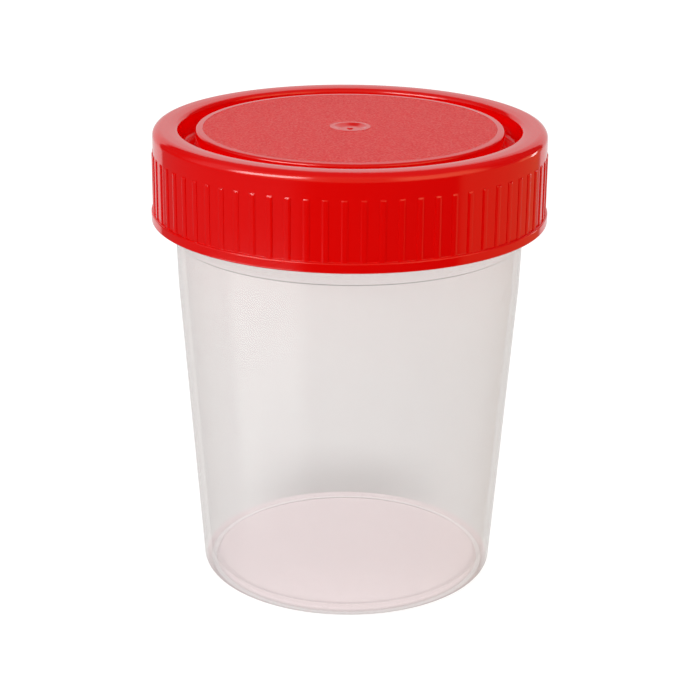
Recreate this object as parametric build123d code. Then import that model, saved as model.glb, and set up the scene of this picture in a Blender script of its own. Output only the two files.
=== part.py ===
from build123d import *

import math
import os

# Urine cup with a screw lid, in millimetres.
# The origin is the centre of the foot that the cup stands on, and +Z points up through the lid.
# The pieces are drawn with the lid screwed home.

# Overall size
overall_height = 73.1
collar_radius = 31.0

# Lid skirt and grip, from the outside inwards
lid_height = 14.56
collar_proud = 0.4
collar_height = 1.56
collar_rounding = 0.25
skirt_wall = 1.0
skirt_foot_rounding = 0.3
shoulder_rounding = 1.3
rib_count = 70
rib_proud = 0.16
rib_width = 1.0
rib_length = 9.2
rib_rounding = 0.13
rib_sink = 0.3

# Lid top
top_wall = 1.0
rim_fall = 0.2
rim_edge_rounding = 0.7
rim_crown_width = 1.6
rim_crown_rounding = 6.0
groove_width = 2.6
groove_depth = 3.9
groove_rounding = 0.8
plug_wall = 1.05
plug_floor = 0.9
plug_rounding = 0.55
disc_drop = 0.3
disc_wall = 0.8
disc_band_width = 1.15
disc_band_fall = 0.15
disc_rounding = 0.4
inner_rounding = 0.2

# Moulding dimple in the middle of the lid
dimple_radius = 2.55
dimple_floor_radius = 1.4
dimple_depth = 0.35
dimple_rounding = 1.2
gate_mark_radius = 0.35
gate_mark_height = 0.14
boss_margin = 1.5
boss_height = 0.35

# Sealing ring
ring_thickness = 0.8
ring_clearance = 0.3
ring_rounding = 0.2

# Cup neck and its seat in the lid
neck_wall = 0.85
plug_clearance = 0.15
lip_rounding = 0.25

# Screw thread, right handed, one start
thread_lead = 4.0
thread_height = 0.75
thread_root_width = 1.5
thread_crest_width = 0.6
thread_clearance = 0.25
flank_clearance = 0.3
thread_drop = 2.2
cup_thread_turns = 1.75
lid_thread_turns = 1.25
thread_fade_turns = 0.12
thread_sink = 0.25
sections_per_turn = 24

# Cup body
cup_wall = 1.0
floor_wall = 0.9
band_height = 2.93
band_proud = 0.22
neck_step = 1.1
flare_lift = 0.6
upper_wall_height = 8.1
upper_draft = 2.1
lower_draft = 4.1
bend_rounding = 20.0
foot_rounding = 1.2
foot_width = 2.4
foot_recess = 0.4
recess_rounding = 0.3
dish_radius = 11.0
dish_depth = 0.15
floor_rounding = 1.4

# Radii that follow from the sizes above, from the collar inwards
grip_radius = collar_radius - collar_proud
skirt_bore = grip_radius - skirt_wall
cup_thread_crest = skirt_bore - thread_clearance
neck_radius = cup_thread_crest - thread_height
neck_bore = neck_radius - neck_wall
plug_radius = neck_bore - plug_clearance
groove_radius = plug_radius - plug_wall
disc_radius = groove_radius - groove_width
disc_bore = disc_radius - disc_wall

# Heights that follow from the sizes above, from the rim downwards
seat_z = overall_height - top_wall
lip_z = seat_z - ring_thickness
disc_z = overall_height - disc_drop
disc_underside_z = disc_z - top_wall
groove_z = overall_height - groove_depth
plug_z = groove_z - plug_floor
lid_foot_z = overall_height - lid_height
collar_top_z = lid_foot_z + collar_height
flare_z = lid_foot_z + flare_lift
band_z = lid_foot_z - band_height
bend_z = band_z - upper_wall_height
floor_z = foot_recess + floor_wall

# Outside of the cup body: the band, the upper wall and the tapered lower wall
band_radius = neck_radius - neck_step
upper_wall_radius = band_radius - band_proud
bend_radius = upper_wall_radius - upper_wall_height * math.tan(math.radians(upper_draft))
base_radius = bend_radius - bend_z * math.tan(math.radians(lower_draft))


def turned(*corners):
    """Solid of revolution about Z. Each corner of its outline is (radius, height, rounding)."""
    points = [(radius, 0, height) for radius, height, rounding in corners]
    roundings = [rounding for radius, height, rounding in corners]
    outline = FilletPolyline(*points, radius=roundings, close=True)
    return revolve(make_face(outline), Axis.Z)


def thread(wall_radius, height, first_z, turns):
    """Screw thread that stands off a wall by height, inwards if that is negative.

    Its sections follow a helix, and at both ends they sink into the wall over a short fade.
    """
    side = math.copysign(1, height)
    flank_slope = (thread_root_width - thread_crest_width) / 2 / thread_height
    buried_half_width = thread_root_width / 2 + thread_sink * flank_slope
    crest_half_width = thread_crest_width / 2
    stations = math.ceil(turns * sections_per_turn)
    sections = []
    for station in range(stations + 1):
        turned_by = turns * station / stations
        from_end = min(turned_by, turns - turned_by, thread_fade_turns) / thread_fade_turns
        fade = from_end * from_end * (3 - 2 * from_end)
        buried_radius = wall_radius - side * thread_sink
        least_radius = wall_radius - side * thread_sink / 4
        crest_radius = least_radius + (wall_radius + height - least_radius) * fade
        z = first_z + thread_lead * turned_by
        corners = [
            (buried_radius, z - buried_half_width),
            (crest_radius, z - crest_half_width),
            (crest_radius, z + crest_half_width),
            (buried_radius, z + buried_half_width),
        ]
        angle = math.tau * turned_by
        points = [(r * math.cos(angle), r * math.sin(angle), h) for r, h in corners]
        sections.append(make_face(Polyline(*points, close=True)))
    return loft(sections)


def cup_thread_first_z():
    """Height of the middle of the cup's thread where it starts, at its lower end."""
    return lip_z - thread_drop - thread_lead * cup_thread_turns


def make_cup():
    """Thin-walled cup on a foot ring, with the neck that carries the outer thread."""
    upper_bore = upper_wall_radius - cup_wall
    flare_bore_z = flare_z + cup_wall * math.sqrt(2) - (band_radius - upper_bore)
    neck_z = flare_z + neck_radius - band_radius
    neck_bore_z = flare_bore_z + neck_bore - upper_bore
    recess_radius = base_radius - foot_width
    shell = turned(
        (0, foot_recess + dish_depth, 0),
        (dish_radius, foot_recess + dish_depth, dish_depth / 2),
        (dish_radius + dish_depth, foot_recess, dish_depth / 2),
        (recess_radius, foot_recess, recess_rounding),
        (recess_radius + foot_recess, 0, recess_rounding),
        (base_radius, 0, foot_rounding),
        (bend_radius, bend_z, bend_rounding),
        (upper_wall_radius, band_z, 0),
        (band_radius, band_z + band_proud, 0),
        (band_radius, flare_z, inner_rounding),
        (neck_radius, neck_z, inner_rounding),
        (neck_radius, lip_z, lip_rounding),
        (neck_bore, lip_z, lip_rounding),
        (neck_bore, neck_bore_z, inner_rounding),
        (upper_bore, flare_bore_z, inner_rounding),
        (bend_radius - cup_wall, bend_z, bend_rounding),
        (base_radius - cup_wall, floor_z, floor_rounding),
        (0, floor_z, 0),
    )
    return shell + thread(neck_radius, thread_height, cup_thread_first_z(), cup_thread_turns)


def make_grip_ribs():
    """Upright ribs round the lid's skirt, each with a rounded crest and a rounded upper end."""
    depth = rib_sink + rib_proud
    bar = Box(depth, rib_width, rib_length, align=(Align.MAX, Align.CENTER, Align.MIN))
    crest = bar.faces().sort_by(Axis.X)[-1]
    foot = bar.faces().sort_by(Axis.Z)[0]
    rounded = [edge for edge in crest.edges() if edge not in foot.edges()]
    bar = fillet(rounded, rib_rounding)
    places = PolarLocations(grip_radius + rib_proud, rib_count)
    return [place * Pos(0, 0, collar_top_z) * bar for place in places]


def make_screw_lid():
    """Screw lid: ribbed skirt, rim, ring groove over the plug wall, disc, and the inner thread."""
    dimple_floor_z = disc_z - dimple_depth
    boss_radius = dimple_radius + boss_margin
    shell = turned(
        (0, dimple_floor_z + gate_mark_height, 0),
        (gate_mark_radius, dimple_floor_z + gate_mark_height, 0),
        (gate_mark_radius, dimple_floor_z, 0),
        (dimple_floor_radius, dimple_floor_z, dimple_rounding),
        (dimple_radius, disc_z, dimple_rounding),
        (disc_radius - disc_band_width, disc_z, 0),
        (disc_radius, disc_z - disc_band_fall, disc_rounding),
        (disc_radius, groove_z, groove_rounding),
        (groove_radius, groove_z, groove_rounding),
        (groove_radius, overall_height - rim_fall, rim_edge_rounding),
        (groove_radius + rim_crown_width, overall_height, rim_crown_rounding),
        (grip_radius, overall_height, shoulder_rounding),
        (grip_radius, collar_top_z, 0),
        (collar_radius, collar_top_z, collar_rounding),
        (collar_radius, lid_foot_z, collar_rounding),
        (skirt_bore, lid_foot_z, skirt_foot_rounding),
        (skirt_bore, seat_z, inner_rounding),
        (plug_radius, seat_z, inner_rounding),
        (plug_radius, plug_z, plug_rounding),
        (disc_bore, plug_z, plug_rounding),
        (disc_bore, disc_underside_z, inner_rounding),
        (boss_radius, disc_underside_z, inner_rounding),
        (boss_radius, disc_underside_z - boss_height, inner_rounding),
        (0, disc_underside_z - boss_height, 0),
    )
    # The lid's thread lies under the cup's, a flank clearance away, on the same helix.
    flank_slope = (thread_root_width - thread_crest_width) / 2 / thread_height
    facing_width = thread_root_width - (skirt_bore - neck_radius) * flank_slope
    lid_thread_z = cup_thread_first_z() - facing_width - flank_clearance
    lid_thread_height = skirt_bore - thread_clearance - neck_radius
    inner_thread = thread(skirt_bore, -lid_thread_height, lid_thread_z, lid_thread_turns)
    return shell + make_grip_ribs() + inner_thread


def make_sealing_ring():
    """Soft flat ring on the cup's lip, in the slot between the plug wall and the skirt."""
    inner = plug_radius + ring_clearance
    outer = skirt_bore - ring_clearance
    return turned(
        (inner, lip_z, ring_rounding),
        (outer, lip_z, ring_rounding),
        (outer, seat_z, ring_rounding),
        (inner, seat_z, ring_rounding),
    )


os.makedirs("parts", exist_ok=True)
pieces = {
    "cup": make_cup(),
    "screw_lid": make_screw_lid(),
    "sealing_ring": make_sealing_ring(),
}
for name, piece in pieces.items():
    piece.label = name
    export_step(piece, f"parts/{name}.step")
    print(name, round(piece.volume / 1000, 3), "cm3")
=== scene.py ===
# %% [markdown]
# A urine cup, dressed for its picture.
# The real thing is three pieces: a thin see-through cup, a red screw lid, and a soft ring between them.
# All three are turned shapes, so each one starts as a half outline that is swept round the upright axis.
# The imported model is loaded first. Every visual piece takes its place from it and rides on its bodies.

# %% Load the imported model
import math

import bpy
from mathutils import Matrix, Vector


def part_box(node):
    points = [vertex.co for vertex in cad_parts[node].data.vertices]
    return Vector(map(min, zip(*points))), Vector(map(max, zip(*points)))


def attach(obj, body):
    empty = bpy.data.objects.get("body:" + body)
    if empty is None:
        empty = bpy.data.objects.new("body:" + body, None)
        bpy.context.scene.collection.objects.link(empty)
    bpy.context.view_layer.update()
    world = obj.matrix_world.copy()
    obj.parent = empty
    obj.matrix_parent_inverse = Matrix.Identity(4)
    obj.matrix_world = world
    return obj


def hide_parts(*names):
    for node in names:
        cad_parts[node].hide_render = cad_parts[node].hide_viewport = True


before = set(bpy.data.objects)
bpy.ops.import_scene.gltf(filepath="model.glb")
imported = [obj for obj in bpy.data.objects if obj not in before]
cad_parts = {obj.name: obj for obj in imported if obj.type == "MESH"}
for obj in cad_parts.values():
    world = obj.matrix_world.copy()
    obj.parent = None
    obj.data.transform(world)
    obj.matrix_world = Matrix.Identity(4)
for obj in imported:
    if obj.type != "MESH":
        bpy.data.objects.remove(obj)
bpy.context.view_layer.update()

# %% [markdown]
# Sizes are in metres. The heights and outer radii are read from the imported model, so the dressed pieces
# can't drift away from it. The walls, steps and roundings are small values of their own.

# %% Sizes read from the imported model
MM = 0.001
CM = 0.01
lid_low, lid_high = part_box("screw_lid")
cup_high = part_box("cup")[1]
ring_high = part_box("sealing_ring")[1]
collar_radius = lid_high.x
rim_top = lid_high.z
lid_foot = lid_low.z
lip_z = cup_high.z
seat_z = ring_high.z
print(f"collar {collar_radius / MM:.2f} mm, rim top {rim_top / MM:.2f} mm, lip {lip_z / MM:.2f} mm")

# %% Walls and steps of the lid and neck
collar_proud = 0.4 * MM
collar_height = 1.56 * MM
skirt_wall = 1.0 * MM
plug_floor = 0.9 * MM
rib_proud = 0.08 * MM
thread_clearance = 0.25 * MM
thread_height = 0.75 * MM
neck_wall = 0.85 * MM
plug_clearance = 0.15 * MM
plug_wall = 1.05 * MM
groove_width = 2.6 * MM
groove_depth = 3.9 * MM
rim_fall = 0.2 * MM
rim_crown_width = 1.6 * MM
disc_wall = 0.8 * MM
disc_drop = 0.3 * MM
disc_band_fall = 0.06 * MM
disc_grain_radius = 22.8 * MM
grain_sink = 0.04 * MM
dimple_radius = 2.55 * MM
dimple_floor_radius = 0.55 * dimple_radius
dimple_collar = 3.17 * MM
dimple_depth = 0.35 * MM
gate_mark_radius = 0.35 * MM
gate_mark_foot = 1.5 * gate_mark_radius
gate_mark_height = 0.14 * MM
boss_radius = 4.07 * MM
boss_height = 0.35 * MM

grip_radius = collar_radius - collar_proud
skirt_bore = grip_radius - skirt_wall
neck_radius = skirt_bore - thread_clearance - thread_height
neck_bore = neck_radius - neck_wall
plug_radius = neck_bore - plug_clearance
groove_radius = plug_radius - plug_wall
disc_radius = groove_radius - groove_width
disc_bore = disc_radius - disc_wall
collar_top = lid_foot + collar_height
disc_z = rim_top - disc_drop
groove_z = rim_top - groove_depth
plug_z = groove_z - plug_floor
underside_z = disc_z - (rim_top - seat_z)
print(f"skirt bore {skirt_bore / MM:.2f} mm, plug {plug_radius / MM:.2f} mm, disc {disc_radius / MM:.2f} mm")

# %% Screw thread
thread_lead = 4.0 * MM
thread_root_width = 1.5 * MM
thread_crest_width = 0.6 * MM
flank_clearance = 0.3 * MM
cup_thread_turns = 1.75
lid_thread_turns = 1.25
thread_fade_turns = 0.12
thread_drop = 2.2 * MM
cup_thread_start = lip_z - thread_drop - thread_lead * cup_thread_turns
flank_slope = (thread_root_width - thread_crest_width) / 2 / thread_height
facing_width = thread_root_width - (skirt_bore - neck_radius) * flank_slope
lid_thread_start = cup_thread_start - facing_width - flank_clearance
print(f"thread starts: cup {cup_thread_start / MM:.2f} mm, lid {lid_thread_start / MM:.2f} mm")

# %% Walls and steps of the cup
cup_wall = 1.0 * MM
floor_wall = 0.9 * MM
foot_recess = 0.4 * MM
foot_width = 2.4 * MM
dish_radius = 11.0 * MM
dish_depth = 0.08 * MM
dish_slope_width = 4 * dish_depth
band_height = 2.93 * MM
band_proud = 0.22 * MM
flare_lift = 0.6 * MM
neck_step = 1.1 * MM
upper_wall_height = 8.1 * MM
upper_draft = math.radians(2.1)
lower_draft = math.radians(4.1)

floor_z = foot_recess + floor_wall
band_z = lid_foot - band_height
flare_z = lid_foot + flare_lift
bend_z = band_z - upper_wall_height
band_radius = neck_radius - neck_step
upper_wall_radius = band_radius - band_proud
bend_radius = upper_wall_radius - (band_z - bend_z) * math.tan(upper_draft)
base_radius = bend_radius - bend_z * math.tan(lower_draft)
recess_radius = base_radius - foot_width
print(f"cup radius {base_radius / MM:.2f} mm at the foot, {upper_wall_radius / MM:.2f} mm under the band")

# %% [markdown]
# A moulding has no sharp corners, and its gloss shows every one of them as a thin line of light.
# So an outline is given as corners with a rounding each, and this helper draws the arcs.
# It also adds two close points at the ends of each straight stretch. They keep the smooth shading of
# the arc from spreading over the flat part next to it.

# %% Outline helper
ARC_STEP = math.radians(11)
STRAIGHT_STEP = 2.5 * MM
HOLD = 0.06 * MM


def corner_arc(before, corner, after, rounding):
    """Points of the arc that rounds one corner of an outline."""
    to_before = (before - corner).normalized()
    to_after = (after - corner).normalized()
    half = to_before.angle(to_after) / 2
    if rounding == 0:
        return [corner]
    reach = rounding / math.tan(half)
    middle = corner + (to_before + to_after).normalized() * (rounding / math.sin(half))
    first, last = corner + to_before * reach, corner + to_after * reach
    turn = math.pi - 2 * half
    steps = max(2, math.ceil(turn / ARC_STEP))
    sweep = (first - middle).angle_signed(last - middle)
    turns = [Matrix.Rotation(-sweep * i / steps, 2) for i in range(steps + 1)]
    return [middle + turned @ (first - middle) for turned in turns]


def rounded_outline(corners, closed=False):
    """Outline points (radius, height) from corners (radius, height, rounding)."""
    points = [Vector((r, z)) for r, z, rounding in corners]
    count = len(points)
    arcs = []
    for i, (r, z, rounding) in enumerate(corners):
        at_an_end = not closed and i in (0, count - 1)
        after = points[(i + 1) % count]
        arcs.append(corner_arc(points[i - 1], points[i], after, 0 if at_an_end else rounding))
    outline = []
    for i, arc in enumerate(arcs):
        outline.extend(arc)
        if i == count - 1 and not closed:
            break
        start, end = arc[-1], arcs[(i + 1) % count][0]
        length = (end - start).length
        if length < 3 * HOLD:
            continue
        along = (end - start) / length
        pieces = math.ceil(length / STRAIGHT_STEP)
        outline.append(start + along * HOLD)
        outline.extend(start + along * (length * k / pieces) for k in range(1, pieces))
        outline.append(end - along * HOLD)
    return outline


# %% [markdown]
# The sweep is a small Geometry Nodes tree. A grid has one column for each step round the axis and one row
# for each outline point. Every grid point looks up its outline point and is turned to its angle.
# The same tree raises the screw thread: a thread is a rule, "how far am I from the helix?", so it needs no
# extra mesh and leaves no seam between thread and wall. A mark on the outline says which wall carries it.

# %% Node helpers
def new_tree(name, inputs):
    """A Geometry Nodes tree with named inputs, given as {name: (socket type, value)}."""
    tree = bpy.data.node_groups.new(name, "GeometryNodeTree")
    face = tree.interface
    face.new_socket("Geometry", in_out="INPUT", socket_type="NodeSocketGeometry")
    for label, (kind, value) in inputs.items():
        socket = face.new_socket(label, in_out="INPUT", socket_type=kind)
        if value is not None:
            socket.default_value = value
    face.new_socket("Geometry", in_out="OUTPUT", socket_type="NodeSocketGeometry")
    return tree, tree.nodes.new("NodeGroupInput"), tree.nodes.new("NodeGroupOutput")


def feed(tree, socket, value):
    """Links a node's output to a socket, or sets the socket to a plain value."""
    if isinstance(value, bpy.types.NodeSocket):
        tree.links.new(value, socket)
    else:
        socket.default_value = value


def maths(tree, operation, *values):
    """A Math node with its inputs fed in order."""
    node = tree.nodes.new("ShaderNodeMath")
    node.operation = operation
    for socket, value in zip(node.inputs, values):
        feed(tree, socket, value)
    return node.outputs[0]


def add_node(tree, kind, settings=None, **inputs):
    """A node with its settings, and its inputs fed by name (underscores stand for spaces)."""
    node = tree.nodes.new(kind)
    for key, value in (settings or {}).items():
        setattr(node, key, value)
    for key, value in inputs.items():
        feed(tree, node.inputs[key.replace("_", " ")], value)
    return node


# %% Tree that turns an outline round the axis and raises its thread
def sampled_outline(tree, source, row, attribute):
    """The outline's position, or its thread mark, at a row of the grid."""
    if attribute is None:
        value = tree.nodes.new("GeometryNodeInputPosition").outputs[0]
        kind = "FLOAT_VECTOR"
    else:
        named = add_node(tree, "GeometryNodeInputNamedAttribute", {"data_type": "FLOAT"}, Name=attribute)
        value, kind = named.outputs[0], "FLOAT"
    node = tree.nodes.new("GeometryNodeSampleIndex")
    node.data_type = kind
    tree.links.new(source, node.inputs["Geometry"])
    tree.links.new(value, node.inputs["Value"])
    tree.links.new(row, node.inputs["Index"])
    return node.outputs[0]


def ridge_height(tree, inputs, share_of_turn, height):
    """How far the thread stands off the wall: a flat-topped ridge on a helix that fades at both ends."""
    lead = inputs["Thread Lead"]
    climbed = maths(tree, "DIVIDE", maths(tree, "SUBTRACT", height, inputs["Thread Start"]), lead)
    phase = maths(tree, "SUBTRACT", climbed, share_of_turn)
    winding = maths(tree, "ROUND", phase)
    off_winding = maths(tree, "ABSOLUTE", maths(tree, "SUBTRACT", phase, winding))
    off_crest = maths(tree, "MULTIPLY", off_winding, lead)
    turned_by = maths(tree, "ADD", share_of_turn, winding)
    to_end = maths(tree, "MINIMUM", turned_by, maths(tree, "SUBTRACT", inputs["Thread Turns"], turned_by))
    fade = add_node(tree, "ShaderNodeMapRange", {"interpolation_type": "SMOOTHSTEP"},
                    Value=to_end, From_Min=0.0, From_Max=inputs["Fade Turns"])
    half_root = maths(tree, "MULTIPLY", inputs["Root Width"], 0.5)
    half_crest = maths(tree, "MULTIPLY", inputs["Crest Width"], 0.5)
    flank = add_node(tree, "ShaderNodeMapRange", {"interpolation_type": "LINEAR"},
                     Value=off_crest, From_Min=half_root, From_Max=half_crest)
    return maths(tree, "MULTIPLY", maths(tree, "MULTIPLY", fade.outputs[0], flank.outputs[0]),
                 inputs["Thread Height"])


SEGMENTS = 240
WELD_DISTANCE = 1e-7


def turning_tree():
    """Geometry Nodes tree: outline in, closed turned moulding out."""
    tree, group_in, group_out = new_tree("turned moulding", {
        "Segments": ("NodeSocketInt", SEGMENTS),
        "Thread Height": ("NodeSocketFloat", 0.0),
        "Thread Lead": ("NodeSocketFloat", thread_lead),
        "Thread Start": ("NodeSocketFloat", 0.0),
        "Thread Turns": ("NodeSocketFloat", 1.0),
        "Root Width": ("NodeSocketFloat", thread_root_width),
        "Crest Width": ("NodeSocketFloat", thread_crest_width),
        "Fade Turns": ("NodeSocketFloat", thread_fade_turns),
        "Weld Distance": ("NodeSocketFloat", WELD_DISTANCE),
        "Material": ("NodeSocketMaterial", None),
    })
    inputs = group_in.outputs
    outline = inputs["Geometry"]
    size = add_node(tree, "GeometryNodeAttributeDomainSize", {"component": "MESH"}, Geometry=outline)
    rows = size.outputs["Point Count"]
    columns = maths(tree, "ADD", inputs["Segments"], 1.0)
    grid = add_node(tree, "GeometryNodeMeshGrid", Size_X=1.0, Size_Y=1.0,
                    Vertices_X=columns, Vertices_Y=rows)
    position = tree.nodes.new("GeometryNodeInputPosition").outputs[0]
    place = add_node(tree, "ShaderNodeSeparateXYZ", Vector=position)
    share = maths(tree, "ADD", place.outputs["X"], 0.5)
    row_share = maths(tree, "ADD", place.outputs["Y"], 0.5)
    row = maths(tree, "ROUND", maths(tree, "MULTIPLY", row_share, maths(tree, "SUBTRACT", rows, 1.0)))
    point = add_node(tree, "ShaderNodeSeparateXYZ", Vector=sampled_outline(tree, outline, row, None))
    carries = sampled_outline(tree, outline, row, "thread_wall")
    ridge = ridge_height(tree, inputs, share, point.outputs["Z"])
    radius = maths(tree, "ADD", point.outputs["X"], maths(tree, "MULTIPLY", ridge, carries))
    angle = maths(tree, "MULTIPLY", share, math.tau)
    turned = add_node(tree, "ShaderNodeCombineXYZ",
                      X=maths(tree, "MULTIPLY", radius, maths(tree, "COSINE", angle)),
                      Y=maths(tree, "MULTIPLY", radius, maths(tree, "SINE", angle)),
                      Z=point.outputs["Z"])
    swept = add_node(tree, "GeometryNodeSetPosition", Geometry=grid.outputs["Mesh"],
                     Position=turned.outputs[0])
    welded = add_node(tree, "GeometryNodeMergeByDistance", Geometry=swept.outputs[0],
                      Distance=inputs["Weld Distance"])
    smooth = add_node(tree, "GeometryNodeSetShadeSmooth", Geometry=welded.outputs[0])
    whole = add_node(tree, "GeometryNodeRealizeInstances", Geometry=smooth.outputs[0])
    painted = add_node(tree, "GeometryNodeSetMaterial", Geometry=whole.outputs[0],
                       Material=inputs["Material"])
    tree.links.new(painted.outputs[0], group_out.inputs[0])
    return tree


TURNING = turning_tree()
print("turning tree:", len(TURNING.nodes), "nodes")

# %% [markdown]
# A tree is used through a modifier. Its inputs are set by each socket's identifier before Blender evaluates
# it. The result is then copied into a plain mesh and the modifier goes, so nothing live is left on a piece.

# %% Run a tree and keep its plain mesh
SHARP_EDGE = math.radians(34)


def run_tree(name, source, tree, values):
    """A plain mesh object, made by running a tree on a source mesh."""
    source_object = bpy.data.objects.new(name + "_source", source)
    bpy.context.scene.collection.objects.link(source_object)
    modifier = source_object.modifiers.new("tree", "NODES")
    modifier.node_group = tree
    for item in tree.interface.items_tree:
        if item.in_out == "INPUT" and item.name in values:
            modifier[item.identifier] = values[item.name]
    evaluated = source_object.evaluated_get(bpy.context.evaluated_depsgraph_get())
    mesh = bpy.data.meshes.new_from_object(evaluated)
    source_object.modifiers.remove(modifier)
    bpy.data.objects.remove(source_object)
    mesh.name = name
    mesh.set_sharp_from_angle(angle=SHARP_EDGE)
    piece = bpy.data.objects.new(name, mesh)
    bpy.context.scene.collection.objects.link(piece)
    return piece


# %% Measure a finished mesh and mark its inner side
FLOOR_TILT = 0.7
UNDERSIDE_TILT = -0.5
HAIR = 1e-6


def inside_volume(mesh):
    """Volume inside a closed mesh; it is positive when the faces point outwards."""
    mesh.calc_loop_triangles()
    place = [v.co for v in mesh.vertices]
    volume = 0.0
    for triangle in mesh.loop_triangles:
        a, b, c = (place[i] for i in triangle.vertices)
        volume += a.dot(b.cross(c)) / 6
    return volume


def mark_inner_side(mesh):
    """An attribute that is 1 where a wall or floor faces the inside of the piece."""
    mark = mesh.attributes.new("inner_side", "FLOAT", "POINT")
    for value, vertex in zip(mark.data, mesh.vertices):
        outward = vertex.normal.x * vertex.co.x + vertex.normal.y * vertex.co.y
        facing_in = outward < -HAIR and vertex.normal.z > UNDERSIDE_TILT
        value.value = 1.0 if facing_in or vertex.normal.z > FLOOR_TILT else 0.0


# %% Rows fine enough for a thread
THREAD_ROW = 0.15 * MM


def finer_on_wall(outline, carries):
    """The outline with close rows where its wall carries the thread."""
    finer = [outline[0]]
    for start, end in zip(outline, outline[1:]):
        both = carries(start.x, start.y) and carries(end.x, end.y)
        pieces = math.ceil((end - start).length / THREAD_ROW) if both else 1
        finer.extend(start + (end - start) * (k / pieces) for k in range(1, pieces + 1))
    return finer


# %% Make a turned piece from its outline
def turned_piece(name, corners, material, closed=False, carries=None, **values):
    """A turned moulding. carries(radius, height) is 1, -1 or 0: which wall the thread stands on."""
    outline = rounded_outline(corners, closed)
    if closed:
        outline.append(outline[0])
    if carries:
        outline = finer_on_wall(outline, carries)
    mesh = bpy.data.meshes.new(name + "_outline")
    edges = [(i, i + 1) for i in range(len(outline) - 1)]
    mesh.from_pydata([(p.x, 0, p.y) for p in outline], edges, [])
    mark = mesh.attributes.new("thread_wall", "FLOAT", "POINT")
    mark.data.foreach_set("value", [carries(p.x, p.y) if carries else 0.0 for p in outline])
    piece = run_tree(name, mesh, TURNING, {"Material": material, **values})
    mark_inner_side(piece.data)
    volume = inside_volume(piece.data) / CM ** 3
    print(f"{name}: {len(piece.data.polygons)} faces, {volume:.3f} cm3 inside")
    return piece


# %% [markdown]
# The lid's colour goes all the way through a glossy plastic, so its gloss does most of the work.
# The top of the disc is different: the mould was finely eroded there, which scatters the light and makes
# the red look paler. One shader group makes such grain. The lid uses it on the disc, and the cup and
# the ring use it as the faint unevenness that every moulded wall has.

# %% Shader group: fine moulded grain
FINE_SCALE, FINE_DETAIL, FINE_ROUGHNESS = 2500.0, 3.0, 0.6
BROAD_SCALE, BROAD_DETAIL, BROAD_ROUGHNESS = 60.0, 2.0, 0.5


def shader_group(name, inputs, outputs):
    """An empty shader group with named inputs and outputs."""
    group = bpy.data.node_groups.new(name, "ShaderNodeTree")
    for label, kind, value in inputs:
        group.interface.new_socket(label, in_out="INPUT", socket_type=kind).default_value = value
    for label, kind in outputs:
        group.interface.new_socket(label, in_out="OUTPUT", socket_type=kind)
    return group, group.nodes.new("NodeGroupInput"), group.nodes.new("NodeGroupOutput")


def grain_group():
    """Grain as a height and a soft mottling mask, both from object coordinates."""
    group, group_in, group_out = shader_group(
        "moulded grain",
        [("Grain Scale", "NodeSocketFloat", FINE_SCALE), ("Mottle Scale", "NodeSocketFloat", BROAD_SCALE)],
        [("Height", "NodeSocketFloat"), ("Mottle", "NodeSocketFloat")])
    place = group.nodes.new("ShaderNodeTexCoord").outputs["Object"]
    fine = add_node(group, "ShaderNodeTexNoise", Vector=place, Scale=group_in.outputs["Grain Scale"],
                    Detail=FINE_DETAIL, Roughness=FINE_ROUGHNESS)
    broad = add_node(group, "ShaderNodeTexNoise", Vector=place, Scale=group_in.outputs["Mottle Scale"],
                     Detail=BROAD_DETAIL, Roughness=BROAD_ROUGHNESS)
    group.links.new(fine.outputs[0], group_out.inputs["Height"])
    group.links.new(broad.outputs[0], group_out.inputs["Mottle"])
    return group


GRAIN = grain_group()
print("grain group:", len(GRAIN.nodes), "nodes")

# %% Material helpers
def new_material(name):
    """A material with its Principled shader, and a grain group beside it."""
    material = bpy.data.materials.new(name)
    material.use_nodes = True
    tree = material.node_tree
    shader = next(n for n in tree.nodes if n.type == "BSDF_PRINCIPLED")
    grain = tree.nodes.new("ShaderNodeGroup")
    grain.node_tree = GRAIN
    return material, tree, shader, grain


# A Mix node holds the sockets of every data type: the first input and the output of each in turn.
MIX_SOCKETS = {"FLOAT": (2, 0), "RGBA": (6, 2)}


def blend(tree, kind, factor, first, second):
    """A Mix node between two values or colours, each of them a socket or a plain value."""
    node = add_node(tree, "ShaderNodeMix", {"data_type": kind}, Factor=factor)
    first_input, output = MIX_SOCKETS[kind]
    feed(tree, node.inputs[first_input], first)
    feed(tree, node.inputs[first_input + 1], second)
    return node.outputs[output]


def ramp(tree, value, low, high, start=0.0, end=1.0):
    """A smooth step of a value from one level to another."""
    return add_node(tree, "ShaderNodeMapRange", {"interpolation_type": "SMOOTHSTEP"}, Value=value,
                    From_Min=low, From_Max=high, To_Min=start, To_Max=end).outputs[0]


def object_place(tree):
    """The shaded point's X, Y and Z in object coordinates."""
    coordinates = tree.nodes.new("ShaderNodeTexCoord").outputs["Object"]
    place = add_node(tree, "ShaderNodeSeparateXYZ", Vector=coordinates)
    return place.outputs["X"], place.outputs["Y"], place.outputs["Z"]


def off_axis_by(tree, across, along):
    """Distance of a point from an upright line, from its two distances across and along."""
    squares = [maths(tree, "MULTIPLY", value, value) for value in (across, along)]
    return maths(tree, "SQRT", maths(tree, "ADD", *squares))


# %% Masks of the lid's disc and groove
GROOVE_MARGIN = 0.05 * MM
GROOVE_FADE_LOW = 1.4 * MM
GROOVE_FADE_HIGH = 0.5 * MM


def disc_mask(tree):
    """1 on the grained top of the disc and 0 elsewhere, from object coordinates."""
    across, along, height = object_place(tree)
    radius = off_axis_by(tree, across, along)
    inside = maths(tree, "LESS_THAN", radius, disc_grain_radius)
    outside_pit = maths(tree, "GREATER_THAN", radius, dimple_collar)
    on_top = maths(tree, "GREATER_THAN", height, disc_z - 2 * grain_sink)
    return maths(tree, "MULTIPLY", maths(tree, "MULTIPLY", inside, outside_pit), on_top)


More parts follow.
